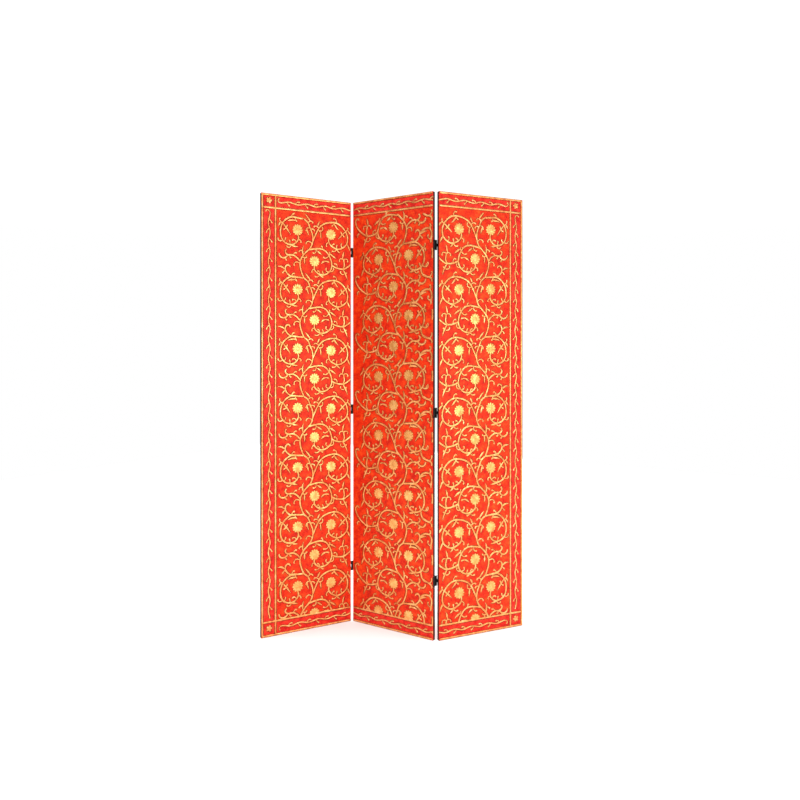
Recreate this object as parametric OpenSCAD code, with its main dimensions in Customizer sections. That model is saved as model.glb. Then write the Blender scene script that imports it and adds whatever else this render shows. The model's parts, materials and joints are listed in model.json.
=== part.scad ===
// Three-panel folding screen on double-acting hinges.
// The middle panel stands on the origin with its front facing -Y. The left panel is folded
// forwards about the front pins of the left fold, and the right panel backwards about the
// back pins of the right fold, so the screen stands by itself in a zigzag.

/* [Panels] */
// Width of one panel
panel_w = 400; // [250:5:600]
// Height of one panel
panel_h = 1800; // [1200:10:2200]
// Radius of a panel's corners, seen from the front
corner_r = 3; // [1:0.5:8]
// Angle that the left panel is folded forwards, 0 when straight
left_fold = 62.5; // [0:0.5:180]
// Angle that the right panel is folded backwards, 0 when straight
right_fold = 58; // [0:0.5:180]

/* [Facings] */
// Thickness of a facing board
facing_t = 2; // [1.5:0.5:4]
// Width of the eased edge round a facing
facing_ease = 0.6; // [0.2:0.1:0.9]

/* [Frame] */
// Thickness of the stiles and rails
frame_t = 10; // [9:1:20]
// Width of a stile
stile_w = 35; // [30:1:60]
// Height of the top and bottom rails
end_rail_h = 35; // [30:1:60]
// Height of the two cross rails
cross_rail_h = 25; // [20:1:50]

/* [Dowels] */
// Diameter of a dowel
dowel_d = 6; // [4:0.5:6]
// Length of a dowel
dowel_l = 30; // [20:1:40]
// Gap round a dowel, filled with glue
dowel_fit = 0.05; // [0.02:0.01:0.2]
// Gap at each end of a dowel
dowel_end_gap = 0.8; // [0.2:0.1:3]

/* [Hinges] */
// Gap between two panels when the screen is straight
fold_gap = 9; // [8.5:0.1:14]
// Height of a hinge
hinge_h = 40; // [34:1:70]
// Distance from the top of the panels to the centre of the upper hinges
upper_hinge_drop = 215; // [150:5:300]
// Height of the centre of the lower hinges above the floor
lower_hinge_z = 238; // [150:1:300]
// Thickness of a leaf
leaf_t = 1.2; // [1.2:0.1:1.6]
// Distance from a leaf's plain edge to the panel's face
leaf_margin = 1.5; // [1:0.1:3]
// Distance of a pin's axis in front of the panel's face
pin_proud = 1.5; // [1.2:0.1:4]
// Radius of a pin
pin_r = 1.5; // [1:0.1:1.8]
// Running gap between a pin and its knuckles
pin_fit = 0.05; // [0.02:0.01:0.1]
// Radius of a pin's head
pin_head_r = 2.4; // [2.1:0.1:2.8]
// Height of a pin's head
pin_head_h = 0.8; // [0.4:0.1:1.5]
// Gap between a barrel and the plane of each panel's edge
barrel_side_gap = 0.7; // [0.6:0.1:1]
// Gap between a barrel and the next leaf's plate
barrel_gap = 0.3; // [0.2:0.1:0.6]
// Gap between two knuckles on a pin
knuckle_gap = 0.3; // [0.1:0.1:0.6]

/* [Screws] */
// Distance between the two screws of a leaf
screw_pitch = 24; // [16:1:26]
// Radius of a screw's shank
screw_r = 1.25; // [1:0.05:1.4]
// Radius of a screw's countersunk head
screw_head_r = 2.4; // [2:0.1:2.5]
// Length of a screw
screw_l = 16; // [12:1:20]
// Length of a screw's point
screw_point_l = 3; // [1:0.5:4]
// Gap round a screw in its hole
screw_fit = 0.05; // [0.02:0.01:0.2]
// Gap past the end of a screw
screw_end_gap = 0.8; // [0.2:0.1:2]
// Width of the slots of a screw's cross recess
recess_w = 0.6; // [0.3:0.1:0.8]
// Length of the slots of a screw's cross recess
recess_l = 2.8; // [1.5:0.1:3]
// Depth of a screw's cross recess
recess_depth = 0.7; // [0.3:0.1:0.9]

/* [Hidden] */
$fn = 48;
FACING_RED = [0.90, 0.22, 0.10];
EDGE_BLACK = [0.06, 0.06, 0.06];
BARE_PINE = [0.80, 0.66, 0.46];
BEECH = [0.72, 0.55, 0.38];
HINGE_BLACK = [0.09, 0.09, 0.10];
PIN_STEEL = [0.30, 0.30, 0.32];
// How far a cut runs past the face it opens
cut_past = 1;

panel_t = frame_t + 2 * facing_t;
panel_pitch = panel_w + fold_gap;
// Middle of each fold's gap, left and right of the origin
fold_x = panel_pitch / 2;
// Distance of a pin's axis from the middle of a panel's thickness
pin_y = panel_t / 2 + pin_proud;

// Height between the end rails, and each rail as [height of its centre, its height]
clear_h = panel_h - 2 * end_rail_h;
BOTTOM_RAIL = [end_rail_h / 2, end_rail_h];
LOWER_RAIL = [end_rail_h + clear_h / 3, cross_rail_h];
UPPER_RAIL = [end_rail_h + 2 * clear_h / 3, cross_rail_h];
TOP_RAIL = [panel_h - end_rail_h / 2, end_rail_h];
RAILS = [BOTTOM_RAIL, LOWER_RAIL, UPPER_RAIL, TOP_RAIL];
// Two dowels at each end of a rail, a quarter of its height in from its edges
DOWEL_Z = [for (rail = RAILS, side = [-1, 1]) rail[0] + side * rail[1] / 4];

upper_hinge_z = panel_h - upper_hinge_drop;
// The middle hinge is half way between the other two
middle_hinge_z = (upper_hinge_z + lower_hinge_z) / 2;
HINGE_Z = [lower_hinge_z, middle_hinge_z, upper_hinge_z];
SCREW_Z = [for (z = HINGE_Z, side = [-1, 1]) z + side * screw_pitch / 2];

barrel_r = fold_gap / 2 - barrel_side_gap;
// Distance from a pin's axis to the straight edge of a plate that passes its barrel
barrel_reach = barrel_r + barrel_gap;
knuckle_h = (hinge_h - 2 * knuckle_gap) / 3;
knuckle_pitch = knuckle_h + knuckle_gap;
screw_head_h = screw_head_r - screw_r;

// ---- Panels -------------------------------------------------------------------------

// A board of the panel's outline, centred on its thickness, standing on z = 0
module panel_block(thickness) {
    side_x = panel_w / 2 - corner_r;
    translate([-panel_w / 2, -thickness / 2, corner_r])
        cube([panel_w, thickness, panel_h - 2 * corner_r]);
    translate([-side_x, -thickness / 2, 0])
        cube([2 * side_x, thickness, panel_h]);
    for (x = [-side_x, side_x], z = [corner_r, panel_h - corner_r])
        translate([x, 0, z])
            rotate([90, 0, 0])
                cylinder(r = corner_r, h = thickness, center = true);
}

// Cross-section of the front facing, length long, with its two outer edges eased
module eased_section(length) {
    inner_y = -frame_t / 2;
    outer_y = -panel_t / 2;
    polygon([
        [-length / 2, inner_y],
        [-length / 2, outer_y + facing_ease],
        [-length / 2 + facing_ease, outer_y],
        [length / 2 - facing_ease, outer_y],
        [length / 2, outer_y + facing_ease],
        [length / 2, inner_y]
    ]);
}

// Facing board on the front of the frame, with its outer edge eased all round
module front_facing() {
    color(FACING_RED)
        intersection() {
            panel_block(panel_t);
            linear_extrude(height = panel_h)
                eased_section(panel_w);
            translate([0, 0, panel_h / 2])
                rotate([0, -90, 0])
                    linear_extrude(height = panel_w, center = true)
                        eased_section(panel_h);
        }
}

module back_facing() {
    rotate([0, 0, 180])
        front_facing();
}

// Left stile, drilled for the rails' dowels and, on a hinged edge, for the screws
module left_stile(hinged) {
    hole_l = dowel_l / 2 + dowel_end_gap;
    pilot_l = screw_l - leaf_t + screw_end_gap;
    color(EDGE_BLACK)
        difference() {
            intersection() {
                panel_block(frame_t);
                translate([-panel_w / 2, -frame_t / 2, 0])
                    cube([stile_w, frame_t, panel_h]);
            }
            for (z = DOWEL_Z)
                translate([-panel_w / 2 + stile_w - hole_l, 0, z])
                    rotate([0, 90, 0])
                        cylinder(d = dowel_d + 2 * dowel_fit, h = hole_l + cut_past);
            if (hinged)
                for (z = SCREW_Z)
                    translate([-panel_w / 2 - cut_past, 0, z])
                        rotate([0, 90, 0])
                            cylinder(r = screw_r + screw_fit, h = pilot_l + cut_past);
        }
}

module right_stile(hinged) {
    mirror([1, 0, 0])
        left_stile(hinged);
}

// Rail between the stiles, drilled at both ends; rail is [height of its centre, its height]
// and finish its colour, black where an edge of it shows
module rail(rail, finish) {
    rail_w = panel_w - 2 * stile_w;
    hole_l = dowel_l / 2 + dowel_end_gap;
    color(finish)
        difference() {
            translate([-rail_w / 2, -frame_t / 2, rail[0] - rail[1] / 2])
                cube([rail_w, frame_t, rail[1]]);
            for (side = [-1, 1], row = [-1, 1])
                translate([side * rail_w / 2, 0, rail[0] + row * rail[1] / 4])
                    rotate([0, 90, 0])
                        cylinder(d = dowel_d + 2 * dowel_fit, h = 2 * hole_l, center = true);
        }
}

// All dowels of a panel, half in the stile and half in the rail
module dowels() {
    joint_x = panel_w / 2 - stile_w;
    color(BEECH)
        for (x = [-joint_x, joint_x], z = DOWEL_Z)
            translate([x, 0, z])
                rotate([0, 90, 0])
                    cylinder(d = dowel_d, h = dowel_l, center = true);
}

// ---- Hinges -------------------------------------------------------------------------
// Drawn in the middle of a straight fold's gap. The front leaf is screwed to the edge of
// the panel on the left and turns on the front pin; the back leaf is screwed to the panel
// on the right and turns on the back pin; the link joins the two pins.

// Knuckle of a barrel on the front pin; level is -1, 0 or 1 from the bottom to the top
module front_knuckle(level) {
    translate([0, -pin_y, level * knuckle_pitch])
        cylinder(r = barrel_r, h = knuckle_h, center = true);
}

// Tab from a plate's straight edge to the front pin's axis, low_x being its left face
module front_tab(low_x, level) {
    translate([low_x, -pin_y, level * knuckle_pitch - knuckle_h / 2])
        cube([leaf_t, barrel_reach, knuckle_h]);
}

module front_bore() {
    translate([0, -pin_y, 0])
        cylinder(r = pin_r + pin_fit, h = hinge_h + 2 * cut_past, center = true);
}

// Countersunk hole of a screw, its mouth on z = 0 and running down
module screw_hole() {
    translate([0, 0, -screw_head_h])
        cylinder(r1 = screw_r + screw_fit, r2 = screw_head_r + screw_fit, h = screw_head_h);
    translate([0, 0, -leaf_t - cut_past])
        cylinder(r = screw_r + screw_fit, h = leaf_t + cut_past);
}

// Puts children on the front leaf's screws, their -Z running into the panel
module at_leaf_screws() {
    for (side = [-1, 1])
        translate([-fold_gap / 2 + leaf_t, 0, side * screw_pitch / 2])
            rotate([0, 90, 0])
                children();
}

module front_leaf() {
    plate_x = -fold_gap / 2;
    plate_y = -pin_y + barrel_reach;
    plate_w = panel_t / 2 - leaf_margin - plate_y;
    color(HINGE_BLACK)
        difference() {
            union() {
                translate([plate_x, plate_y, -hinge_h / 2])
                    cube([leaf_t, plate_w, hinge_h]);
                for (level = [-1, 1]) {
                    front_tab(plate_x, level);
                    front_knuckle(level);
                }
            }
            front_bore();
            at_leaf_screws()
                screw_hole();
        }
}

module back_leaf() {
    plate_x = fold_gap / 2 - leaf_t;
    plate_w = pin_y - barrel_reach + panel_t / 2 - leaf_margin;
    color(HINGE_BLACK)
        difference() {
            union() {
                translate([plate_x, -panel_t / 2 + leaf_margin, -hinge_h / 2])
                    cube([leaf_t, plate_w, hinge_h]);
                rotate([0, 0, 180]) {
                    front_tab(-fold_gap / 2, 0);
                    front_knuckle(0);
                }
            }
            rotate([0, 0, 180]) {
                front_bore();
                at_leaf_screws()
                    screw_hole();
            }
        }
}

module link() {
    plate_w = 2 * (pin_y - barrel_reach);
    color(HINGE_BLACK)
        difference() {
            union() {
                translate([-leaf_t / 2, -plate_w / 2, -hinge_h / 2])
                    cube([leaf_t, plate_w, hinge_h]);
                front_tab(-leaf_t / 2, 0);
                front_knuckle(0);
                for (level = [-1, 1])
                    rotate([0, 0, 180]) {
                        front_tab(-leaf_t / 2, level);
                        front_knuckle(level);
                    }
            }
            front_bore();
            rotate([0, 0, 180])
                front_bore();
        }
}

// Front pins of a fold, with a head at each end
module front_pins() {
    color(PIN_STEEL)
        for (z = HINGE_Z)
            translate([0, -pin_y, z]) {
                cylinder(r = pin_r, h = hinge_h + pin_head_h, center = true);
                for (end = [0, 1])
                    mirror([0, 0, end])
                        translate([0, 0, hinge_h / 2])
                            cylinder(r1 = pin_head_r, r2 = pin_r, h = pin_head_h);
            }
}

module back_pins() {
    rotate([0, 0, 180])
        front_pins();
}

module screw() {
    shank_l = screw_l - screw_head_h - screw_point_l;
    difference() {
        union() {
            translate([0, 0, -screw_head_h])
                cylinder(r1 = screw_r, r2 = screw_head_r, h = screw_head_h);
            translate([0, 0, -screw_head_h - shank_l])
                cylinder(r = screw_r, h = shank_l);
            translate([0, 0, -screw_l])
                cylinder(r1 = 0, r2 = screw_r, h = screw_point_l);
        }
        for (turn = [0, 90])
            rotate([0, 0, turn])
                translate([-recess_l / 2, -recess_w / 2, -recess_depth])
                    cube([recess_l, recess_w, recess_depth + cut_past]);
    }
}

// All screws of a fold's front leaves
module front_screws() {
    color(HINGE_BLACK)
        for (z = HINGE_Z)
            translate([0, 0, z])
                at_leaf_screws()
                    screw();
}

module back_screws() {
    rotate([0, 0, 180])
        front_screws();
}

// ---- Places -------------------------------------------------------------------------

// Turns children from the straight screen into the left panel's folded place
module turn_left() {
    translate([-fold_x, -pin_y, 0])
        rotate([0, 0, left_fold])
            translate([fold_x, pin_y, 0])
                children();
}

// Turns children from the straight screen into the right panel's folded place
module turn_right() {
    translate([fold_x, pin_y, 0])
        rotate([0, 0, right_fold])
            translate([-fold_x, -pin_y, 0])
                children();
}

module in_left_panel() {
    turn_left()
        translate([-panel_pitch, 0, 0])
            children();
}

module in_right_panel() {
    turn_right()
        translate([panel_pitch, 0, 0])
            children();
}

module in_left_gap(z) {
    translate([-fold_x, 0, z])
        children();
}

module in_right_gap(z) {
    translate([fold_x, 0, z])
        children();
}

// ---- Nodes --------------------------------------------------------------------------

in_left_panel() front_facing();  // left_panel_front_facing
in_left_panel() back_facing();  // left_panel_back_facing
in_left_panel() left_stile(false);  // left_panel_left_stile
in_left_panel() right_stile(true);  // left_panel_right_stile
in_left_panel() rail(TOP_RAIL, EDGE_BLACK);  // left_panel_top_rail
in_left_panel() rail(UPPER_RAIL, BARE_PINE);  // left_panel_upper_rail
in_left_panel() rail(LOWER_RAIL, BARE_PINE);  // left_panel_lower_rail
in_left_panel() rail(BOTTOM_RAIL, EDGE_BLACK);  // left_panel_bottom_rail
in_left_panel() dowels();  // left_panel_dowels

front_facing();  // middle_panel_front_facing
back_facing();  // middle_panel_back_facing
left_stile(true);  // middle_panel_left_stile
right_stile(true);  // middle_panel_right_stile
rail(TOP_RAIL, EDGE_BLACK);  // middle_panel_top_rail
rail(UPPER_RAIL, BARE_PINE);  // middle_panel_upper_rail
rail(LOWER_RAIL, BARE_PINE);  // middle_panel_lower_rail
rail(BOTTOM_RAIL, EDGE_BLACK);  // middle_panel_bottom_rail
dowels();  // middle_panel_dowels

in_right_panel() front_facing();  // right_panel_front_facing
in_right_panel() back_facing();  // right_panel_back_facing
in_right_panel() left_stile(true);  // right_panel_left_stile
in_right_panel() right_stile(false);  // right_panel_right_stile
in_right_panel() rail(TOP_RAIL, EDGE_BLACK);  // right_panel_top_rail
in_right_panel() rail(UPPER_RAIL, BARE_PINE);  // right_panel_upper_rail
in_right_panel() rail(LOWER_RAIL, BARE_PINE);  // right_panel_lower_rail
in_right_panel() rail(BOTTOM_RAIL, EDGE_BLACK);  // right_panel_bottom_rail
in_right_panel() dowels();  // right_panel_dowels

turn_left() in_left_gap(upper_hinge_z) front_leaf();  // left_fold_upper_outer_leaf
in_left_gap(upper_hinge_z) link();  // left_fold_upper_link
in_left_gap(upper_hinge_z) back_leaf();  // left_fold_upper_inner_leaf
turn_left() in_left_gap(middle_hinge_z) front_leaf();  // left_fold_middle_outer_leaf
in_left_gap(middle_hinge_z) link();  // left_fold_middle_link
in_left_gap(middle_hinge_z) back_leaf();  // left_fold_middle_inner_leaf
turn_left() in_left_gap(lower_hinge_z) front_leaf();  // left_fold_lower_outer_leaf
in_left_gap(lower_hinge_z) link();  // left_fold_lower_link
in_left_gap(lower_hinge_z) back_leaf();  // left_fold_lower_inner_leaf

in_right_gap(upper_hinge_z) front_leaf();  // right_fold_upper_inner_leaf
in_right_gap(upper_hinge_z) link();  // right_fold_upper_link
turn_right() in_right_gap(upper_hinge_z) back_leaf();  // right_fold_upper_outer_leaf
in_right_gap(middle_hinge_z) front_leaf();  // right_fold_middle_inner_leaf
in_right_gap(middle_hinge_z) link();  // right_fold_middle_link
turn_right() in_right_gap(middle_hinge_z) back_leaf();  // right_fold_middle_outer_leaf
in_right_gap(lower_hinge_z) front_leaf();  // right_fold_lower_inner_leaf
in_right_gap(lower_hinge_z) link();  // right_fold_lower_link
turn_right() in_right_gap(lower_hinge_z) back_leaf();  // right_fold_lower_outer_leaf

turn_left() in_left_gap(0) front_pins();  // left_fold_front_pins
in_left_gap(0) back_pins();  // left_fold_back_pins
in_right_gap(0) front_pins();  // right_fold_front_pins
in_right_gap(0) back_pins();  // right_fold_back_pins

turn_left() in_left_gap(0) front_screws();  // left_fold_outer_screws
in_left_gap(0) back_screws();  // left_fold_inner_screws
in_right_gap(0) front_screws();  // right_fold_inner_screws
turn_right() in_right_gap(0) back_screws();  // right_fold_outer_screws
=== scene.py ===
"""Folding screen of three red panels with raised gold scrollwork, on double-acting hinges."""

import json
import math

import bmesh
import bpy
import numpy as np
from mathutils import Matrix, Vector


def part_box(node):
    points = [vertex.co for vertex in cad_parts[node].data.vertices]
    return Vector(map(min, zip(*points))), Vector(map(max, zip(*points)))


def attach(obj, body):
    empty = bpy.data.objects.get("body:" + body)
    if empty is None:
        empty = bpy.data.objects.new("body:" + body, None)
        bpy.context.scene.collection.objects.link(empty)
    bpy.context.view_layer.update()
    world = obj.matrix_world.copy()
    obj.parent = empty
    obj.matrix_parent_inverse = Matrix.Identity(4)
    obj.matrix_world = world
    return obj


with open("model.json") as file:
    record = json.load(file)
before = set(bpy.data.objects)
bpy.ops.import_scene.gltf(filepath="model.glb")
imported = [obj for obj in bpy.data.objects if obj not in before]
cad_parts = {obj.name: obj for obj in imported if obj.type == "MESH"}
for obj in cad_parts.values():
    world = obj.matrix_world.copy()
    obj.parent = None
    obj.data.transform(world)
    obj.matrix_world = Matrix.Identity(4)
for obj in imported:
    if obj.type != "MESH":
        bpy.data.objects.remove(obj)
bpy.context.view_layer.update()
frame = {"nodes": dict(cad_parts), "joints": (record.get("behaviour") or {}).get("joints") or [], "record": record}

# ---- Sizes --------------------------------------------------------------------------
# The ornament is drawn flat, in millimetres: u runs right from a panel's left edge and
# v runs down from its top edge, as seen from the front; h stands out of the facing.

MM = 0.001
front_low, front_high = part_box("middle_panel_front_facing")
PANEL_W = (front_high.x - front_low.x) / MM
PANEL_H = (front_high.z - front_low.z) / MM
FACE_Y = -front_low.y / MM
JOINTS = {joint["name"]: joint for joint in frame["joints"]}
LEFT_PIN = np.array(JOINTS["left_fold_front_pin"]["pos_m"][:2]) / MM
RIGHT_PIN = np.array(JOINTS["right_fold_back_pin"]["pos_m"][:2]) / MM
PANEL_PITCH = RIGHT_PIN[0] - LEFT_PIN[0]

SUNK = 0.25  # how far the relief reaches into the facing
LINE_RISE = 0.8  # how far its lines stand proud
ROSETTE_RISE = 1.0
SECTION_SIDES = 8  # points round a line's oval section
OUTLINE_SIDES = 6

EDGE_LINE = 5.0  # centre of the outer border line, from a panel's edge
SIDE_LINE = 60.8  # centre of the inner upright border line
TOP_LINE = 57.0
FOOT_LINE = PANEL_H - 60.0
BORDER_W = 7.4
CUT = 0.8  # the ornament stops this far from a hinged edge

REPEAT = 246.0  # height of one repeat of the scrollwork
STEM_W = 7.6
TWIG_W = 5.6
VINE_W = 6.0
OUTLINE_W = 1.8  # the brown line painted round the gold
OUTLINE_RISE = 0.2
BLEND = 2 * MM  # half-width of the soft edge between the band's red and the field's

# ---- Flat shapes --------------------------------------------------------------------
# A mesh is a pair of arrays: points (n, 3) as u, v, h, and triangles (m, 3).


def stations(length, pitch):
    """Distances along a line: evenly spaced, with closer ones at both round ends."""
    inner = np.linspace(0.0, 1.0, max(int(length / pitch), 3) + 1)
    end = pitch / length * np.array([0.12, 0.4])
    return length * np.unique(np.concatenate([inner, end, 1.0 - end]))


def curve_through(points, pitch):
    """A smooth curve through points: on each span a cubic, whose slope at a point is the
    mean of the two chords' slopes there, each weighted by the other chord's length."""
    points = np.array(points, float)
    spans = np.linalg.norm(np.diff(points, axis=0), axis=1)
    knots = np.concatenate([[0.0], np.cumsum(spans)])
    chords = np.diff(points, axis=0) / spans[:, None]
    share = (spans[:-1] / (spans[:-1] + spans[1:]))[:, None]
    inner = chords[:-1] * (1 - share) + chords[1:] * share
    first = 1.5 * chords[:1] - 0.5 * inner[:1]
    last = 1.5 * chords[-1:] - 0.5 * inner[-1:]
    slopes = np.concatenate([first, inner, last])
    along = stations(knots[-1], pitch)
    i = np.clip(np.searchsorted(knots, along, side="right") - 1, 0, len(spans) - 1)
    t = ((along - knots[i]) / spans[i])[:, None]
    span = spans[i][:, None]
    return (
        (2 * t**3 - 3 * t**2 + 1) * points[i]
        + (t**3 - 2 * t**2 + t) * span * slopes[i]
        + (3 * t**2 - 2 * t**3) * points[i + 1]
        + (t**3 - t**2) * span * slopes[i + 1]
    )


def tendril_path(u, v, heading, length, turn):
    """A curl: it leaves (u, v) at heading, in degrees from right towards up, and has turned
    by turn at its end, slowly at first: it grows with the distance to the power 1.6."""
    along = stations(length, 3.0)
    middle = (along[1:] + along[:-1]) / 2
    angle = np.radians(heading + turn * (middle / length) ** 1.6)
    step = np.diff(along)[:, None] * np.stack([np.cos(angle), -np.sin(angle)], 1)
    return np.concatenate([[[u, v]], [u, v] + np.cumsum(step, axis=0)])


def run_lengths(path):
    """Distance of each point of a path from its start."""
    steps = np.linalg.norm(np.diff(path, axis=0), axis=1)
    return np.concatenate([[0.0], np.cumsum(steps)])


def round_ends(along, radius):
    """0 at both ends of a line and 1 along it, growing as a quarter circle does."""
    near = np.clip(np.minimum(along, along[-1] - along) / radius, 0, 1)
    return np.sqrt(near * (2 - near))


def line_width(along, width):
    """Half-width of an even line with round ends."""
    return width / 2 * round_ends(along, width / 2)


def curl_width(along, width):
    """Half-width of a curl: it narrows by a fifth, then swells to a round knob at its tip."""
    t = along / along[-1]
    knob = 0.8 * np.exp(-(((along[-1] - along - 0.7 * width) / (0.6 * width)) ** 2))
    return width / 2 * (1 - 0.2 * t + knob) * round_ends(along, 0.75 * width)


def leaf_width(along, width):
    """Half-width of a leaf: it swells to its middle and runs out to a thin tip."""
    t = along / along[-1]
    swell = 0.62 + 0.75 * np.sin(math.pi * t) ** 1.5 - 0.4 * t
    return width / 2 * swell * round_ends(along, width / 4)


def tube_triangles(rings, sides):
    """Triangles over rings of sides points each, closed by a pole before and after them."""
    ring, side = np.meshgrid(np.arange(rings - 1), np.arange(sides), indexing="ij")
    here = (1 + ring * sides + side).ravel()
    beside = (1 + ring * sides + (side + 1) % sides).ravel()
    wall = np.stack([here, here + sides, beside], 1)
    other = np.stack([beside, here + sides, beside + sides], 1)
    k = np.arange(sides)
    after = (k + 1) % sides
    first = np.stack([np.zeros(sides, int), 1 + k, 1 + after], 1)
    base = 1 + (rings - 1) * sides
    last = np.stack([np.full(sides, base + sides), base + after, base + k], 1)
    return np.concatenate([wall, other, first, last])


def relief(path, half, rise, sides=SECTION_SIDES):
    """A raised line: round each point of the path an oval, half wide to either side, whose
    flat upper side has round shoulders and whose lower side sinks into the facing."""
    ahead = np.gradient(path, axis=0)
    ahead /= np.linalg.norm(ahead, axis=1)[:, None]
    across = np.stack([-ahead[:, 1], ahead[:, 0]], 1)
    angle = np.arange(sides) * 2 * math.pi / sides
    side = half[1:-1, None] * np.cos(angle)
    flat = path[1:-1, None] + side[:, :, None] * across[1:-1, None]
    share = np.sqrt(half[1:-1] / half.max())[:, None]
    lift = np.sign(np.sin(angle)) * np.abs(np.sin(angle)) ** 0.45
    up = lift * np.where(lift > 0, rise * share, SUNK)
    rings = np.concatenate([flat, up[:, :, None]], 2).reshape(-1, 3)
    start = [[*path[0], 0.0]]
    end = [[*path[-1], 0.0]]
    points = np.concatenate([start, rings, end])
    return points, tube_triangles(len(path) - 2, sides)


# A stroke is a path, its half-width at each point and how far it stands proud.


def line_stroke(points, width=STEM_W):
    """A line of even width through points."""
    path = curve_through(points, 5.0)
    return path, line_width(run_lengths(path), width), LINE_RISE


def curl_stroke(u, v, heading, length, turn, width=TWIG_W):
    """A tendril path as wide as a curl."""
    path = tendril_path(u, v, heading, length, turn)
    return path, curl_width(run_lengths(path), width), LINE_RISE


def leaf_stroke(u, v, heading, length, turn, width=TWIG_W):
    """A tendril path as wide as a leaf, a little lower than the lines."""
    path = tendril_path(u, v, heading, length, turn)
    return path, leaf_width(run_lengths(path), 1.3 * width), 0.9 * LINE_RISE


def raised(strokes):
    """The strokes in relief."""
    return joined([relief(*stroke) for stroke in strokes])


def outlined(strokes):
    """Thin flat bands that show as an outline all round the strokes."""
    wider = [(path, half + OUTLINE_W) for path, half, _ in strokes]
    return joined([relief(*band, OUTLINE_RISE, OUTLINE_SIDES) for band in wider])


def rosette(u, v, radius, petals, notch, rise=ROSETTE_RISE):
    """A flower: a round button in a ring of petals. Its outline and the height of its
    petals fall by the share notch from a petal's middle to the groove beside it."""
    share = np.array([0.1, 0.2, 0.27, 0.32, 0.42, 0.6, 0.8, 0.92, 0.98, 1.0, 0.5])
    sides = petals * 6
    angle = np.arange(sides) * 2 * math.pi / sides
    lobe = np.abs(np.cos(petals * angle / 2))
    reach = radius * (1 - notch + notch * lobe**0.8)
    button = np.sqrt(np.clip(1 - (share / 0.33) ** 2, 0, 1))
    petal = np.sqrt(np.clip(1 - ((share - 0.62) / 0.4) ** 2, 0, 1))
    groove = 0.35 + 0.65 * lobe**0.7
    height = 0.25 + 0.75 * button[:, None] + 0.55 * petal[:, None] * groove
    height[-3:] = [[0.35], [0.0], [-SUNK / rise]]
    ring_u = u + share[:, None] * reach * np.cos(angle)
    ring_v = v + share[:, None] * reach * np.sin(angle)
    rings = np.stack([ring_u, ring_v, rise * height], 2).reshape(-1, 3)
    top = [[u, v, rise]]
    foot = [[u, v, -SUNK]]
    return np.concatenate([top, rings, foot]), tube_triangles(len(share), sides)


def joined(meshes):
    """Several meshes as one."""
    counts = [len(points) for points, _ in meshes]
    starts = np.concatenate([[0], np.cumsum(counts)[:-1]])
    points = np.concatenate([points for points, _ in meshes])
    triangles = np.concatenate([tris + n for (_, tris), n in zip(meshes, starts)])
    return points, triangles


def moved(mesh, du, dv):
    """The mesh shifted by du and dv."""
    points, triangles = mesh
    return points + [du, dv, 0.0], triangles


def mirrored(mesh, width):
    """The mesh seen in a mirror, u becoming width - u."""
    points, triangles = mesh
    return points * [-1, 1, 1] + [width, 0, 0], triangles[:, ::-1]


def cut_to(mesh, low_u, high_u, low_v, high_v):
    """What lies inside the rectangle, its cut ends closed."""
    points, triangles = mesh
    data = bpy.data.meshes.new("cutting")
    data.from_pydata(points.tolist(), [], triangles.tolist())
    work = bmesh.new()
    work.from_mesh(data)
    for place, outward in (
        ((low_u, 0, 0), (-1, 0, 0)),
        ((high_u, 0, 0), (1, 0, 0)),
        ((0, low_v, 0), (0, -1, 0)),
        ((0, high_v, 0), (0, 1, 0)),
    ):
        cut = bmesh.ops.bisect_plane(
            work,
            geom=work.verts[:] + work.edges[:] + work.faces[:],
            dist=1e-4,
            plane_co=place,
            plane_no=outward,
            clear_outer=True,
        )
        rim = [e for e in cut["geom_cut"] if isinstance(e, bmesh.types.BMEdge)]
        bmesh.ops.holes_fill(work, edges=[e for e in rim if e.is_boundary])
    bmesh.ops.triangulate(work, faces=work.faces[:])
    work.to_mesh(data)
    work.free()
    kept = np.zeros(len(data.vertices) * 3)
    data.vertices.foreach_get("co", kept)
    corners = np.zeros(len(data.polygons) * 3, np.int32)
    data.polygons.foreach_get("vertices", corners)
    bpy.data.meshes.remove(data)
    return kept.reshape(-1, 3), corners.reshape(-1, 3)


# ---- The scrollwork -----------------------------------------------------------------
# One repeat of the left panel's pattern, v counted from its upper left rosette. Lines are
# the points they pass through. Curls and leaves are (u, v, heading, length, turn).

ROSETTE_R = 24.0
SIDE_FIRST = 139.0  # v of the side panels' first repeat
MIDDLE_FIRST = 3.0  # and of the middle panel's
MARGIN = 40.0  # how much farther left the middle panel's pattern starts

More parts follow.
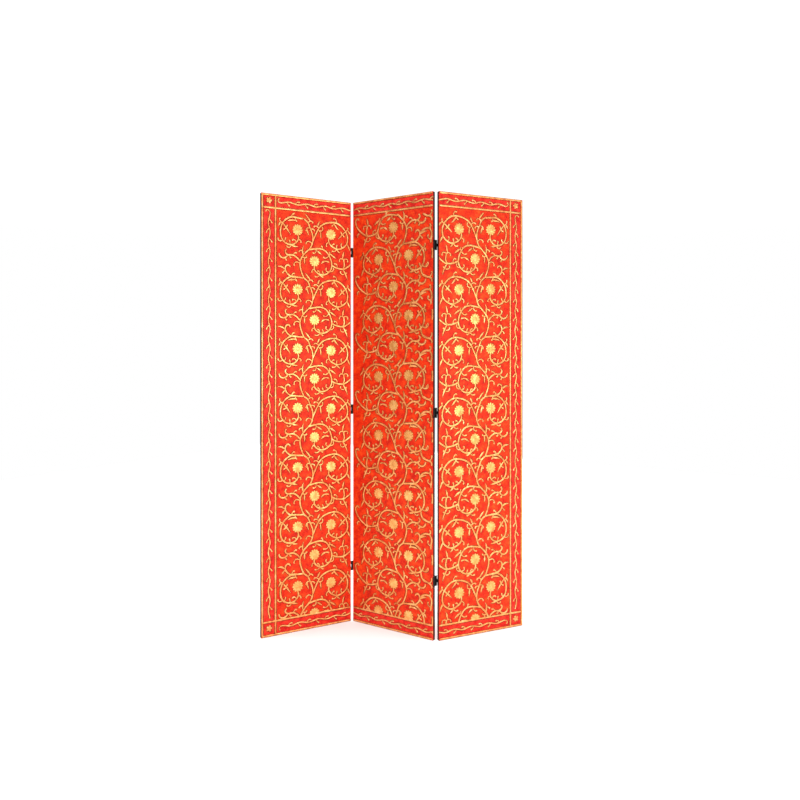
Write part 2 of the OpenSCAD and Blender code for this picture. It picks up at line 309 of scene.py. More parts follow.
UPPER_LINES = (
    # stem, down to the lower scroll
    ((184, -49), (202, -35), (212, -13), (221, 8), (225, 30), (221, 54), (209, 76)),
    # upper left scroll
    ((184, -49), (158, -51), (131, -53), (108, -42), (90, -22), (82, 8), (86, 36))
    + ((99, 53), (117, 61), (135, 61), (152, 50), (160, 36), (158, 18)),
    # upper right scroll
    ((223, 42), (238, 10), (249, -11), (262, -27), (283, -39), (307, -45), (332, -45))
    + ((351, -37), (368, -22), (380, -3), (385, 18), (381, 40), (365, 57), (341, 66))
    + ((319, 60), (302, 47), (296, 32), (300, 20)),
)
UPPER_ROSETTES = ((157, -1), (307, 6))
UPPER_CURLS = (
    # round the upper left scroll
    (130, -53, 82, 23, -105),
    (93, -25, 170, 28, -125),
    (106, -7, 50, 14, 40),
    (107, -4, 212, 15, -20),
    (146, -52, -85, 20, 55),
    (91, 46, 215, 29, -160),
    (98, 50, 55, 18, 35),
    (123, 61, 84, 19, 50),
    (150, 49, 115, 24, 155),
    (159, 39, 5, 22, -155),
    (129, 62, -105, 30, -165),
    # beside the stem
    (204, -35, 55, 29, -160),
    (214, -8, 28, 25, -135),
    (212, -13, 165, 30, 160),
    (221, 53, 125, 39, 165),
    # round the upper right scroll
    (332, -45, 80, 30, 150),
    (251, -15, 125, 29, 125),
    (250, -6, -15, 35, 175),
    (322, -41, 235, 17, -45),
    (377, -13, 28, 22, 105),
    (360, 4, 122, 16, -10),
    (360, 2, -45, 14, 0),
    (310, 58, 78, 22, -105),
    (333, 65, 95, 19, -40),
    (363, 58, 160, 25, -155),
    (297, 42, 190, 26, 155),
    (334, 64, -112, 30, -120),
)
UPPER_LEAVES = (
    (84, -27, 225, 20, 35),
    (94, -22, -50, 53, -10),
    (151, -40, 176, 39, 30),
    (128, 63, -18, 30, 18),
    (213, -43, 128, 36, 6),
    (198, -11, -78, 30, 8),
    (246, -26, 70, 23, -25),
    (259, -3, -88, 29, 8),
    (320, -43, -58, 35, 20),
    (386, -18, -48, 27, -10),
    (377, -13, 222, 51, 6),
    (381, 38, -60, 36, -15),
    (334, 68, -48, 21, 14),
)

LOWER_LINES = (
    # stem, down to the next repeat
    ((212, 71), (200, 83), (186, 97), (175, 112), (168, 130), (167, 146), (171, 164))
    + ((178, 183), (186, 199)),
    # lower scroll
    ((205, 78), (233, 72), (262, 70), (283, 78), (297, 94), (307, 115), (311, 138))
    + ((304, 159), (287, 174), (264, 179), (244, 172), (232, 159), (231, 142)),
    # branch on the right of it, and what rises from it
    ((310, 136), (330, 145), (352, 149), (367, 149), (384, 140), (402, 126), (417, 109))
    + ((425, 92), (426, 76), (416, 70), (407, 78)),
    ((362, 149), (369, 136), (368, 120), (365, 106)),
    # branches on the left of the stem
    ((167, 128), (152, 112), (134, 104), (115, 105), (104, 97), (103, 88), (110, 83)),
    ((114, 105), (103, 117), (88, 118), (77, 108), (76, 100)),
    # big curl that springs from the next repeat's upper left scroll
    ((150, 194), (129, 193), (112, 182), (103, 167), (105, 152), (114, 146), (122, 150))
    + ((124, 156),),
)
LOWER_ROSETTES = ((232, 124),)
LOWER_CURLS = (
    # round the lower scroll
    (179, 83, 165, 22, 120),
    (178, 108, -35, 25, 120),
    (238, 72, -75, 31, -160),
    (268, 70, 72, 17, 150),
    (297, 94, 40, 18, 135),
    (297, 95, 240, 33, -115),
    (280, 121, 5, 19, -45),
    (302, 163, -5, 30, 150),
    (255, 177, 88, 21, 120),
    (272, 178, 100, 17, 20),
    (298, 165, 185, 28, -170),
    (231, 157, 195, 22, 120),
    (256, 179, -125, 29, -110),
    (255, 178, -50, 22, 55),
    # on the branches
    (334, 145, 75, 29, 160),
    (366, 108, 152, 30, 160),
    (366, 109, 35, 31, -175),
    (370, 171, 195, 29, -145),
    (371, 169, 22, 13, 35),
    (101, 117, -60, 15, 20),
    (138, 105, 76, 23, -125),
    (122, 105, -100, 17, 140),
    (166, 136, 150, 39, 165),
    (102, 170, 215, 18, 35),
    (131, 193, 85, 23, -120),
)
LOWER_LEAVES = (
    (181, 103, 104, 42, -48),
    (188, 112, -98, 28, 25),
    (244, 80, -32, 26, -6),
    (300, 87, -28, 36, -16),
    (282, 120, 198, 25, 38),
    (361, 103, 82, 31, -18),
    (361, 148, -55, 53, -25),
    (101, 165, 140, 34, 60),
)

# More of the pattern, which only the middle panel is wide enough to show
WIDE_UPPER_LINES = (((98, 56), (95, 73), (86, 86), (70, 92)),)
WIDE_LINES = (
    ((89, 82), (70, 92), (55, 96), (47, 104), (48, 114)),
    ((100, 163), (91, 150), (73, 143), (57, 143), (51, 134), (58, 126)),
    ((58, 143), (49, 156), (47, 171), (50, 186), (51, 204)),
    ((45, -22), (43, 0), (45, 20)),
)
WIDE_CURLS = (
    (58, 94, 145, 28, -85),
    (84, 50, 195, 35, -170),
    (51, 188, 5, 29, 155),
    (415, 150, 60, 23, 180),
)


def scroll_strokes(lines, curls, leaves):
    """One repeat's strokes."""
    strokes = [line_stroke(points) for points in lines]
    strokes += [curl_stroke(*curl) for curl in curls]
    return strokes + [leaf_stroke(*leaf) for leaf in leaves]


def flowers(places, wider=0.0, rise=ROSETTE_RISE):
    """One repeat's rosettes."""
    radius = ROSETTE_R + wider
    return joined([rosette(u, v, radius, 12, 0.26, rise) for u, v in places])


def down_panel(upper, lower, first_v, low_u, high_u):
    """Repeats down a panel from first_v, cut off by the border lines and the sides. The
    middle panel, which starts higher, leaves its first upper half out."""
    count = int((FOOT_LINE - first_v) / REPEAT) + 1
    skipped = 1 if first_v < TOP_LINE else 0
    rows = [moved(upper, 0, first_v + REPEAT * k) for k in range(skipped, count)]
    rows += [moved(lower, 0, first_v + REPEAT * k) for k in range(count)]
    return cut_to(joined(rows), low_u, high_u, TOP_LINE, FOOT_LINE)


def scroll_parts(upper, lower, first_v, low_u, high_u):
    """A panel's scrollwork, rosettes and outlines, from the strokes of a repeat's halves."""
    halves = ((upper, UPPER_ROSETTES), (lower, LOWER_ROSETTES))
    rims = [
        joined([outlined(strokes), flowers(places, OUTLINE_W, OUTLINE_RISE)])
        for strokes, places in halves
    ]
    pairs = {
        "scrollwork": [raised(strokes) for strokes, _ in halves],
        "rosettes": [flowers(places) for _, places in halves],
        "outlines": rims,
    }
    return {
        name: down_panel(*pair, first_v, low_u, high_u) for name, pair in pairs.items()
    }


def side_scrollwork():
    """The left panel's; its first repeat lies below the border."""
    upper = scroll_strokes(UPPER_LINES, UPPER_CURLS, UPPER_LEAVES)
    lower = scroll_strokes(LOWER_LINES, LOWER_CURLS, LOWER_LEAVES)
    return scroll_parts(upper, lower, SIDE_FIRST, SIDE_LINE, PANEL_W - CUT)


def middle_scrollwork():
    """The middle panel's: the pattern in a mirror, half a repeat higher and uncropped."""
    upper = scroll_strokes(UPPER_LINES + WIDE_UPPER_LINES, UPPER_CURLS, UPPER_LEAVES)
    curls = LOWER_CURLS + WIDE_CURLS
    lower = scroll_strokes(LOWER_LINES + WIDE_LINES, curls, LOWER_LEAVES)
    parts = scroll_parts(upper, lower, MIDDLE_FIRST, MARGIN + CUT, MARGIN + PANEL_W - CUT)
    return {
        name: mirrored(moved(mesh, -MARGIN, 0), PANEL_W) for name, mesh in parts.items()
    }


# ---- The border ---------------------------------------------------------------------

VINE_SWING = 3.6
ACROSS_WAVE = 80.8  # length of one wave of the vines across the panels
DOWN_WAVE = 78.6  # and of those down their sides
SPRIG_W = 5.4
TIP_W = 5.0  # width of the curl that a vine ends in
TOP_VINE = 31.0  # v of the top vine's centre line
TOP_CREST = 118.5  # u of a crest of it on the left panel
FOOT_VINE = PANEL_H - 32.0
FOOT_CREST = 87.0
SIDE_VINE = 34.0
SIDE_CREST = 80.0
RUN_ON = 10.0  # how far the middle panel's vines are drawn past its edges, before the cut
CORNER_R = 13.5
CORNER_FLOWERS = ((34.0, 27.5), (34.0, PANEL_H - 34.0))
LINE_INSET = 1.2  # the outer border lines stop this far from the panel's corner
RIM_INSET = 0.4  # and their outlines this far from its edge


def border_line(start, end):
    """A straight stroke of the border."""
    start, end = np.array(start, float), np.array(end, float)
    along = stations(np.linalg.norm(end - start), 60.0)
    path = start + (end - start) * (along / along[-1])[:, None]
    return path, np.full(len(path), BORDER_W / 2), LINE_RISE


def wave_stroke(low, high, centre, crest, wave, down):
    """A waving stem from low to high: its distance from the centre line is VINE_SWING
    times the cosine of the distance from a crest."""
    run = low + stations(high - low, 4.0)
    swing = VINE_SWING * np.cos(2 * math.pi * (run - crest) / wave)
    path = np.stack([centre + swing, run] if down else [run, centre - swing], 1)
    return path, line_width(run_lengths(path), VINE_W), LINE_RISE


def across_vine(low, high, centre, crest):
    """A vine that runs right, with a leaf below each crest and a curl above each trough."""
    strokes = [wave_stroke(low, high, centre, crest, ACROSS_WAVE, False)]
    for k in range(-1, int((high - low) / ACROSS_WAVE) + 2):
        u = crest + ACROSS_WAVE * k
        if low < u - 8 < high:
            strokes.append(curl_stroke(u - 10, centre - 3, -65, 22, 50, SPRIG_W))
        u += ACROSS_WAVE / 2
        if low < u - 10 < high - 14:
            strokes.append(curl_stroke(u - 12, centre + 3, 65, 25, -110, SPRIG_W))
    return strokes


def down_vine(low, high, centre, crest):
    """A vine that runs down, with leaves to the right and left in turn at its bends."""
    strokes = [wave_stroke(low, high, centre, crest, DOWN_WAVE, True)]
    for k in range(int((high - low) / DOWN_WAVE) + 1):
        v = crest + DOWN_WAVE * (k + 0.5)
        if v < high - 10:
            strokes.append(curl_stroke(centre - 4, v - 18, -38, 26, -30, SPRIG_W))
        v += DOWN_WAVE / 2
        if v < high - 10:
            strokes.append(curl_stroke(centre + 4, v - 19, 212, 28, 60, SPRIG_W))
    return strokes


def border_parts(strokes, blossoms, low_u):
    """A panel's border in relief and its outlines, from strokes and corner flowers."""
    reliefs = [raised(strokes)]
    reliefs += [rosette(u, v, CORNER_R, 5, 0.5) for u, v in blossoms]
    rims = [outlined(strokes)]
    rim_r = CORNER_R + OUTLINE_W
    rims += [rosette(u, v, rim_r, 5, 0.3, OUTLINE_RISE) for u, v in blossoms]
    high_u = PANEL_W - CUT
    rim_u = max(low_u, RIM_INSET)
    rim_foot = PANEL_H - RIM_INSET
    return {
        "border": cut_to(joined(reliefs), low_u, high_u, 0.0, PANEL_H),
        "border_outlines": cut_to(joined(rims), rim_u, high_u, RIM_INSET, rim_foot),
    }


def side_border():
    """The left panel's border: lines on three sides, corner squares and vines."""
    top, foot = EDGE_LINE, PANEL_H - EDGE_LINE
    strokes = [
        border_line((EDGE_LINE, LINE_INSET), (EDGE_LINE, PANEL_H - LINE_INSET)),
        border_line((SIDE_LINE, top), (SIDE_LINE, foot)),
    ]
    strokes += [border_line((LINE_INSET, v), (PANEL_W, v)) for v in (top, foot)]
    strokes += [border_line((EDGE_LINE, v), (PANEL_W, v)) for v in (TOP_LINE, FOOT_LINE)]
    strokes += down_vine(80.0, FOOT_LINE - 14, SIDE_VINE, SIDE_CREST)
    strokes.append(curl_stroke(SIDE_VINE + VINE_SWING, 83, 90, 33, 190, TIP_W))
    strokes += across_vine(82.0, PANEL_W, TOP_VINE, TOP_CREST)
    strokes.append(curl_stroke(86, TOP_VINE + 3, 182, 30, -190, TIP_W))
    strokes += across_vine(86.0, PANEL_W, FOOT_VINE, FOOT_CREST)
    strokes.append(curl_stroke(90, FOOT_VINE - 3, 178, 28, 185, TIP_W))
    return border_parts(strokes, CORNER_FLOWERS, 0.0)


def middle_border():
    """The middle panel's border: lines and vines that run on from its neighbours'."""
    lines = (EDGE_LINE, TOP_LINE, FOOT_LINE, PANEL_H - EDGE_LINE)
    strokes = [border_line((0, v), (PANEL_W, v)) for v in lines]
    for centre, crest in ((TOP_VINE, TOP_CREST), (FOOT_VINE, FOOT_CREST)):
        own_crest = (crest - PANEL_PITCH) % ACROSS_WAVE
        strokes += across_vine(-RUN_ON, PANEL_W + RUN_ON, centre, own_crest)
    return border_parts(strokes, (), CUT)


# ---- Onto the panels ----------------------------------------------------------------


def rest_turn(name):
    """Angle of a fold at rest: how far its joint can turn back to straight."""
    joint = JOINTS[name]
    return -math.radians(joint["range_deg"][0])


# For each panel: the angle it is turned by at rest, the pin it turns about and how far
# along the straight screen it stands
PLACES = {
    "left_panel": (rest_turn("left_fold_front_pin"), LEFT_PIN, -PANEL_PITCH),
    "middle_panel": (0.0, np.zeros(2), 0.0),
    "right_panel": (rest_turn("right_fold_back_pin"), RIGHT_PIN, PANEL_PITCH),
}


def turned(flat, angle, pin):
    """Points of the plan turned about a pin."""
    c, s = math.cos(angle), math.sin(angle)
    return (flat - pin) @ np.array([[c, s], [-s, c]]) + pin


def on_panel(mesh, panel, back):
    """A flat mesh laid on a panel's front, or on its back as seen from behind, in metres."""
    points, triangles = mesh
    angle, pin, shift = PLACES[panel]
    facing = -1 if back else 1
    x = facing * (points[:, 0] - PANEL_W / 2)
    y = -facing * (FACE_Y + points[:, 2])
    plan = turned(np.stack([x + shift, y], 1), angle, pin)
    return np.column_stack([plan, PANEL_H - points[:, 1]]) * MM, triangles[:, ::-1]


def add_piece(name, mesh, panel, material):
    """Makes a piece of the visual model from points and triangles; it rides on a panel."""
    points, triangles = mesh
    data = bpy.data.meshes.new(name)
    data.vertices.add(len(points))
    data.vertices.foreach_set("co", points.astype(np.float32).ravel())
    data.loops.add(triangles.size)
    data.loops.foreach_set("vertex_index", triangles.astype(np.int32).ravel())
    data.polygons.add(len(triangles))
    data.polygons.foreach_set("loop_start", np.arange(len(triangles), dtype=np.int32) * 3)
    data.update(calc_edges=True)
    data.validate()
    data.shade_smooth()
    data.materials.append(material)
    piece = bpy.data.objects.new(name, data)
    bpy.context.scene.collection.objects.link(piece)
    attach(piece, panel)
    return piece


def add_ornament():
    """Scrollwork and border on both sides of each panel. The two outer panels mirror each
    other, and each one's back carries its neighbour's design, so a border runs round."""
    gold = gold_relief_paint()
    rosette_gold = rosette_paint()
    brown = outline_paint()
    paints = {
        "scrollwork": (gold, "gold_relief"),
        "rosettes": (rosette_gold, "gold_relief"),
        "border": (gold, "gold_relief"),
        "outlines": (brown, "painted_facing"),
        "border_outlines": (brown, "painted_facing"),
    }
    left = side_scrollwork() | side_border()
    right = {part: mirrored(mesh, PANEL_W) for part, mesh in left.items()}
    middle = middle_scrollwork() | middle_border()
    designs = {
        "left_panel": (left, right),
        "middle_panel": (middle, middle),
        "right_panel": (right, left),
    }
    for panel, (front, back) in designs.items():
        for part, (material, slot) in paints.items():
            name = f"{panel}_front_{part}"
            add_piece(name, on_panel(front[part], panel, False), panel, material)
            name = f"{panel}_back_{part}"
            add_piece(name, on_panel(back[part], panel, True), panel, material)


# ---- Materials ----------------------------------------------------------------------


def srgb(code):
    """Linear colour of an sRGB hex value such as "E04020"."""
    part = [int(code[i : i + 2], 16) / 255 for i in (0, 2, 4)]
    linear = [p / 12.92 if p <= 0.04045 else ((p + 0.055) / 1.055) ** 2.4 for p in part]
    return (*linear, 1.0)


def wire(node, inputs):
    """Sets a node's inputs: each to a value, to a socket or to a node's first output."""
    for name, value in inputs.items():
        if isinstance(value, bpy.types.Node):
            value = value.outputs[0]
        if isinstance(value, bpy.types.NodeSocket):
            node.id_data.links.new(value, node.inputs[name])
        else:
            node.inputs[name].default_value = value


def add_node(tree, kind, inputs=None, stops=(), **settings):
    """Adds a node with its links and settings. Stops are a ramp's (value, hex colour)."""
    made = tree.nodes.new("ShaderNode" + kind)
    for name, value in settings.items():
        setattr(made, name, value)
    wire(made, inputs or {})
    for k, (at, code) in enumerate(stops):
        elements = made.color_ramp.elements
        element = elements[k] if k < 2 else elements.new(at)
        element.position = at
        element.color = srgb(code)
    return made


def new_material(name):
    """An empty material: its node tree, its shader and the Object coordinates."""
    material = bpy.data.materials.new(name)
    material.use_nodes = True
    tree = material.node_tree
    shader = tree.nodes["Principled BSDF"]
    place = add_node(tree, "TexCoord").outputs["Object"]
    return material, tree, shader, place


def per_metre(size_mm):
    """Scale of a pattern whose patches are about size_mm wide."""
    return 1 / (size_mm * MM)


def span(value, low, high, out_low, out_high):
    """Inputs of a range: value from low to high becomes out_low to out_high, no more."""
    return {
        "Value": value,
        "From Min": low,
        "From Max": high,
        "To Min": out_low,
        "To Max": out_high,
    }


def panel_place(tree, place, panel):
    """Coordinates in a panel's own frame: x across it from its middle, y through it."""
    angle, pin, shift = PLACES[panel]
    middle = turned(np.array([shift, 0.0]), angle, pin) * MM
    inputs = {"Vector": place, "Location": (*middle, 0.0), "Rotation": (0, 0, angle)}
    return add_node(tree, "Mapping", inputs, vector_type="TEXTURE")


def black_edge_paint(tree, place):
    """Colour of the black paint on the panels' edges, with faint upright streaks."""
    upright = add_node(tree, "Mapping", {"Vector": place, "Scale": (1, 1, 0.15)})
    inputs = {"Vector": upright, "Scale": per_metre(6), "Detail": 4.0}
    streaks = add_node(tree, "TexNoise", inputs)
    stops = ((0.3, "030304"), (0.75, "0B0B0D"))
    return add_node(tree, "ValToRGB", {"Fac": streaks}, stops)


def band_share(tree, own, outer_side):
    """1 on the border band, 0 on the field: they meet under the gold lines. The middle
    panel's outer_side is 0, as it has no band down a side."""
    axes = add_node(tree, "SeparateXYZ", {"Vector": own})
    foot_z = (PANEL_H - FOOT_LINE) * MM
    top_z = (PANEL_H - TOP_LINE) * MM
    side_x = (PANEL_W / 2 - SIDE_LINE) * MM
    up = axes.outputs["Z"]
    foot = add_node(tree, "MapRange", span(up, foot_z - BLEND, foot_z + BLEND, 1, 0))
    top = add_node(tree, "MapRange", span(up, top_z - BLEND, top_z + BLEND, 0, 1))
    share = add_node(tree, "Math", {0: foot, 1: top}, operation="MAXIMUM")
    if outer_side:
        inputs = {0: axes.outputs["X"], 1: float(outer_side)}
        out = add_node(tree, "Math", inputs, operation="MULTIPLY")
        side = add_node(tree, "MapRange", span(out, side_x - BLEND, side_x + BLEND, 0, 1))
        share = add_node(tree, "Math", {0: share, 1: side}, operation="MAXIMUM")
    return share


def edge_share(tree, own):
    """1 through the thickness of a facing and 0 on its outer face."""
    through = add_node(tree, "SeparateXYZ", {"Vector": own}).outputs["Y"]
    deep = add_node(tree, "Math", {0: through}, operation="ABSOLUTE")
    low, high = (FACE_Y - 0.6) * MM, (FACE_Y - 0.3) * MM
    return add_node(tree, "MapRange", span(deep, low, high, 1, 0))


def red_facing(panel, outer_side):
    """Oil-bound red paint, sponged over an orange ground and varnished satin: patches of
    deeper and paler red, a more crimson border band, and black on the facing's edges."""
    material, tree, shader, place = new_material(f"sponged_red_paint_{panel}")
    own = panel_place(tree, place, panel)
    inputs = {"Vector": own, "Scale": per_metre(24), "Detail": 4.0}
    patches = add_node(tree, "TexNoise", inputs)
    inputs = {"Vector": own, "Scale": per_metre(5), "Detail": 3.0}
    sponge = add_node(tree, "TexNoise", inputs)
    fine = add_node(tree, "Math", {0: sponge, 1: 0.4}, operation="MULTIPLY")
    inputs = {0: patches, 1: 0.6, 2: fine}
    cloud = add_node(tree, "Math", inputs, operation="MULTIPLY_ADD")
    stops = ((0.36, "B61602"), (0.46, "CE2404"), (0.54, "D83006"), (0.66, "E04A10"))
    field = add_node(tree, "ValToRGB", {"Fac": cloud}, stops)
    stops = ((0.36, "B0140C"), (0.48, "D42014"), (0.64, "E03C26"))
    band = add_node(tree, "ValToRGB", {"Fac": cloud}, stops)
    inputs = {"Fac": band_share(tree, own, outer_side), "Color1": field, "Color2": band}
    paint = add_node(tree, "MixRGB", inputs)
    black = black_edge_paint(tree, own)
    inputs = {"Fac": edge_share(tree, own), "Color1": paint, "Color2": black}
    wire(shader, {"Base Color": add_node(tree, "MixRGB", inputs)})
    rough = add_node(tree, "MapRange", span(sponge, 0.3, 0.7, 0.34, 0.46))
    inputs = {"Height": cloud, "Distance": 0.25 * MM, "Strength": 0.5}
    skin = add_node(tree, "Bump", inputs)
    wire(shader, {"Roughness": rough, "Specular IOR Level": 0.14, "Normal": skin})
    return material


def gold_paint(name, *stops):
    """Bronze-powder paint under a clear varnish, with a fine brushed grain."""
    material, tree, shader, place = new_material(name)
    inputs = {"Vector": place, "Scale": per_metre(16), "Detail": 3.0}
    cloud = add_node(tree, "TexNoise", inputs)
    inputs = {"Vector": place, "Scale": per_metre(1.6), "Detail": 2.0}
    grain = add_node(tree, "TexNoise", inputs)
    fine = add_node(tree, "Math", {0: grain, 1: 0.3}, operation="MULTIPLY")
    mottle = add_node(tree, "Math", {0: cloud, 1: 0.7, 2: fine}, operation="MULTIPLY_ADD")
    wire(shader, {"Base Color": add_node(tree, "ValToRGB", {"Fac": mottle}, stops)})
    rough = add_node(tree, "MapRange", span(grain, 0.3, 0.7, 0.24, 0.34))
    inputs = {"Height": grain, "Distance": 0.12 * MM, "Strength": 0.5}
    skin = add_node(tree, "Bump", inputs)
    wire(shader, {"Metallic": 0.8, "Roughness": rough, "Normal": skin})
    wire(shader, {"Coat Weight": 0.4, "Coat Roughness": 0.25})
    return material


def gold_relief_paint():
    """On the lines: warm orange gold, paler and deeper in patches at random."""
    stops = ((0.36, "C46A30"), (0.46, "DE8C46"), (0.56, "EC9E58"), (0.66, "F4B878"))
    return gold_paint("orange_gold_paint_on_gesso", *stops)


def rosette_paint():
    """On the rosettes: a paler and yellower gold, worn to tan in patches."""
    stops = ((0.34, "C67E36"), (0.46, "E0984E"), (0.54, "E8A65A"), (0.66, "EEBE70"))
    return gold_paint("tan_gold_paint_on_gesso", *stops)


def outline_paint():
    """Thin dark brown paint drawn round the gold, uneven in strength."""
    material, tree, shader, place = new_material("dark_brown_outline_paint")
    inputs = {"Vector": place, "Scale": per_metre(9), "Detail": 3.0}
    wear = add_node(tree, "TexNoise", inputs)
    stops = ((0.36, "5C1C08"), (0.5, "7E2A0C"), (0.64, "B03410"))
    tone = add_node(tree, "ValToRGB", {"Fac": wear}, stops)
    wire(shader, {"Base Color": tone, "Roughness": 0.5, "Specular IOR Level": 0.13})
    return material


def black_edge_wood():
    """Satin black paint brushed along a pine edge: the grain shows through faintly."""
    material, tree, shader, place = new_material("satin_black_paint_on_pine")
    wire(shader, {"Base Color": black_edge_paint(tree, place)})
    upright = add_node(tree, "Mapping", {"Vector": place, "Scale": (1, 1, 0.05)})
    inputs = {"Vector": upright, "Scale": per_metre(2.5), "Detail": 4.0}
    grain = add_node(tree, "TexNoise", inputs)
    rough = add_node(tree, "MapRange", span(grain, 0.3, 0.7, 0.38, 0.5))
    inputs = {"Height": grain, "Distance": 0.15 * MM, "Strength": 0.5}
    skin = add_node(tree, "Bump", inputs)
    wire(shader, {"Roughness": rough, "Normal": skin, "IOR": 1.5, "Specular IOR Level": 0.12})
    return material


def planed_pine():
    """Bare planed pine: pale bands of spring wood and thin darker lines of summer wood."""
    material, tree, shader, place = new_material("bare_planed_pine")
    long_way = add_node(tree, "Mapping", {"Vector": place, "Scale": (0.15, 1, 1)})
    inputs = {"Vector": long_way, "Scale": per_metre(90), "Detail": 2.0}
    wander = add_node(tree, "TexNoise", inputs)
    close = add_node(tree, "Mapping", {"Vector": place, "Scale": (30, 260, 260)})
    inputs = {"Vector": close, "Scale": 1.0, "Distortion": 6.0, "Detail": 2.0}
    rings = add_node(tree, "TexWave", inputs, bands_direction="Z").outputs["Fac"]
    wide = add_node(tree, "Math", {0: wander, 1: 0.3}, operation="MULTIPLY")
    mixed = add_node(tree, "Math", {0: rings, 1: 0.7, 2: wide}, operation="MULTIPLY_ADD")
    stops = ((0.2, "E2C690"), (0.6, "D4B078"), (0.9, "B07E48"))
    colour = add_node(tree, "ValToRGB", {"Fac": mixed}, stops)
    inputs = {"Height": mixed, "Distance": 0.1 * MM, "Strength": 0.4}
    skin = add_node(tree, "Bump", inputs)
    wire(shader, {"Base Color": colour, "Roughness": 0.6, "Normal": skin})
    return material


def turned_beech():
    """Bare beech dowel rod: even pinkish tan with short dark flecks along it."""
    material, tree, shader, place = new_material("bare_beech_rod")
    long_way = add_node(tree, "Mapping", {"Vector": place, "Scale": (0.15, 1, 1)})
    inputs = {"Vector": long_way, "Scale": per_metre(1.2), "Detail": 3.0}
    flecks = add_node(tree, "TexNoise", inputs)
    stops = ((0.35, "A87850"), (0.5, "C89A6C"), (0.7, "D4AC80"))
    colour = add_node(tree, "ValToRGB", {"Fac": flecks}, stops)
    inputs = {"Height": flecks, "Distance": 0.05 * MM, "Strength": 0.4}
    skin = add_node(tree, "Bump", inputs)
    wire(shader, {"Base Color": colour, "Roughness": 0.62, "Normal": skin})
    return material


def baked_enamel(name, dark, pale, rough):
    """Black stove enamel on pressed steel: a soft gloss with a slight orange-peel skin."""
    material, tree, shader, place = new_material(name)
    inputs = {"Vector": place, "Scale": per_metre(1.5), "Detail": 2.0}
    peel = add_node(tree, "TexNoise", inputs)
    stops = ((0.3, dark), (0.7, pale))
    colour = add_node(tree, "ValToRGB", {"Fac": peel}, stops)
    gloss = add_node(tree, "MapRange", span(peel, 0.3, 0.7, rough, rough + 0.1))
    inputs = {"Height": peel, "Distance": 0.04 * MM, "Strength": 0.5}
    skin = add_node(tree, "Bump", inputs)
    wire(shader, {"Base Color": colour, "Roughness": gloss, "Normal": skin})
    wire(shader, {"IOR": 1.5, "Specular IOR Level": 0.2})
    return material


def blackened_steel():
    """Drawn steel pins, oil-blackened: dark metal with fine lines along the pin."""
    material, tree, shader, place = new_material("oil_blackened_steel")
    upright = add_node(tree, "Mapping", {"Vector": place, "Scale": (1, 1, 0.03)})
    inputs = {"Vector": upright, "Scale": per_metre(0.6), "Detail": 2.0}
    lines = add_node(tree, "TexNoise", inputs)
    stops = ((0.3, "3A3A3E"), (0.7, "6A6A70"))
    colour = add_node(tree, "ValToRGB", {"Fac": lines}, stops)
    rough = add_node(tree, "MapRange", span(lines, 0.3, 0.7, 0.3, 0.42))
    wire(shader, {"Base Color": colour, "Roughness": rough, "Metallic": 1.0})
    return material


def dress_cad_nodes():
    """Gives every CAD node its material, by its slot in the record."""
    by_slot = {
        "black_edge": black_edge_wood(),
        "bare_pine": planed_pine(),
        "beech_dowel": turned_beech(),
        "hinge_black": baked_enamel("black_stove_enamel", "060607", "101013", 0.32),
        "pin_steel": blackened_steel(),
        "screw_black": baked_enamel("black_screw_lacquer", "0A0A0C", "1C1C20", 0.36),
    }
    facings = {
        "left_panel": red_facing("left_panel", -1),
        "middle_panel": red_facing("middle_panel", 0),
        "right_panel": red_facing("right_panel", 1),
    }
    for part in frame["record"]["subparts"]:
        name = part["node"]
        panel = "_".join(name.split("_")[:2])
        material = by_slot.get(part["material_slot"]) or facings[panel]
        data = frame["nodes"][name].data
        data.materials.clear()
        data.materials.append(material)


# ---- Floor, light and camera --------------------------------------------------------


def add_floor():
    """A plain pale floor, as far as the light reaches."""
    material, tree, shader, place = new_material("pale_matt_floor")
    inputs = {"Vector": place, "Scale": per_metre(900), "Detail": 2.0}
    tone = add_node(tree, "TexNoise", inputs)
    stops = ((0.3, "E6E6E6"), (0.7, "EAEAEA"))
    colour = add_node(tree, "ValToRGB", {"Fac": tone}, stops)
    wire(shader, {"Base Color": colour, "Roughness": 0.8})
    data = bpy.data.meshes.new("floor")
    reach = 5.0
    corners = [(-reach, -reach, 0), (reach, -reach, 0), (reach, reach, 0), (-reach, reach, 0)]
    data.from_pydata(corners, [], [(0, 1, 2, 3)])
    data.materials.append(material)
    floor = bpy.data.objects.new("floor", data)
    bpy.context.scene.collection.objects.link(floor)


def aim(thing, place, target):
    """Puts a light at place, shining on target."""
    direction = (np.array(target) - np.array(place)).tolist()
    thing.location = place
    thing.rotation_euler = Vector(direction).to_track_quat("-Z", "Y").to_euler()


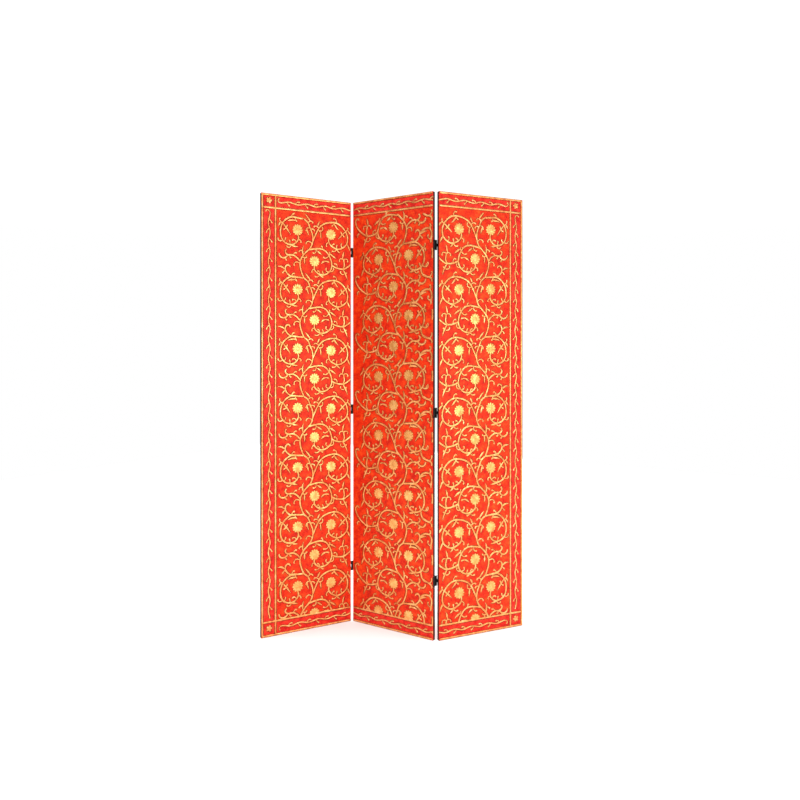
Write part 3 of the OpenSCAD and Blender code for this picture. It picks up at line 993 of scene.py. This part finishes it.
def add_softbox(name, place, target, width, height, radiance):
    """A soft light of that brightness, where 1 is white."""
    data = bpy.data.lights.new(name, "AREA")
    data.shape = "RECTANGLE"
    data.size = width
    data.size_y = height
    data.energy = radiance * math.pi * width * height
    box = bpy.data.objects.new(name, data)
    bpy.context.scene.collection.objects.link(box)
    aim(box, place, target)


def add_skylight(strength):
    """Wide soft light straight down, for an even floor."""
    data = bpy.data.lights.new("skylight", "SUN")
    data.energy = strength
    data.angle = math.radians(60)
    sky = bpy.data.objects.new("skylight", data)
    bpy.context.scene.collection.objects.link(sky)


def add_world():
    """White to the camera; what lights the screen is grey at eye level, paler above and
    brightest round a direction to the right."""
    world = bpy.data.worlds.new("studio")
    world.use_nodes = True
    tree = world.node_tree
    toward = add_node(tree, "TexCoord").outputs["Generated"]
    height = add_node(tree, "SeparateXYZ", {"Vector": toward}).outputs["Z"]
    above = add_node(tree, "MapRange", span(height, 0.0, 0.2, 0.4, 1.15))
    inputs = {0: toward, 1: (0.97, -0.242, 0.03)}
    near = add_node(tree, "VectorMath", inputs, operation="DOT_PRODUCT").outputs["Value"]
    bright = add_node(tree, "MapRange", span(near, 0.93, 0.985, 0.0, 1.45))
    light = add_node(tree, "Math", {0: above, 1: bright}, operation="ADD")
    seen = add_node(tree, "LightPath").outputs["Is Camera Ray"]
    strength = add_node(tree, "Math", {0: light, 1: seen}, operation="MAXIMUM")
    wire(tree.nodes["Background"], {"Color": (1, 1, 1, 1), "Strength": strength})
    bpy.context.scene.world = world


def add_camera():
    """Level camera right of the middle, 1.13 m above the floor."""
    data = bpy.data.cameras.new("camera")
    data.lens = 32.33
    data.shift_y = -0.0526
    camera = bpy.data.objects.new("camera", data)
    bpy.context.scene.collection.objects.link(camera)
    camera.location = (1.6603, -2.4865, 1.1319)
    camera.rotation_euler = (math.radians(90), 0, math.radians(33.14))
    bpy.context.scene.camera = camera


add_camera()
add_world()
add_softbox("right_softbox", (3.0, -0.65, 1.15), (-0.2, -0.1, 1.1), 0.95, 0.7, 7.5)
add_skylight(3.5)
add_floor()
dress_cad_nodes()
add_ornament()
bpy.context.scene.view_settings.view_transform = "Standard"
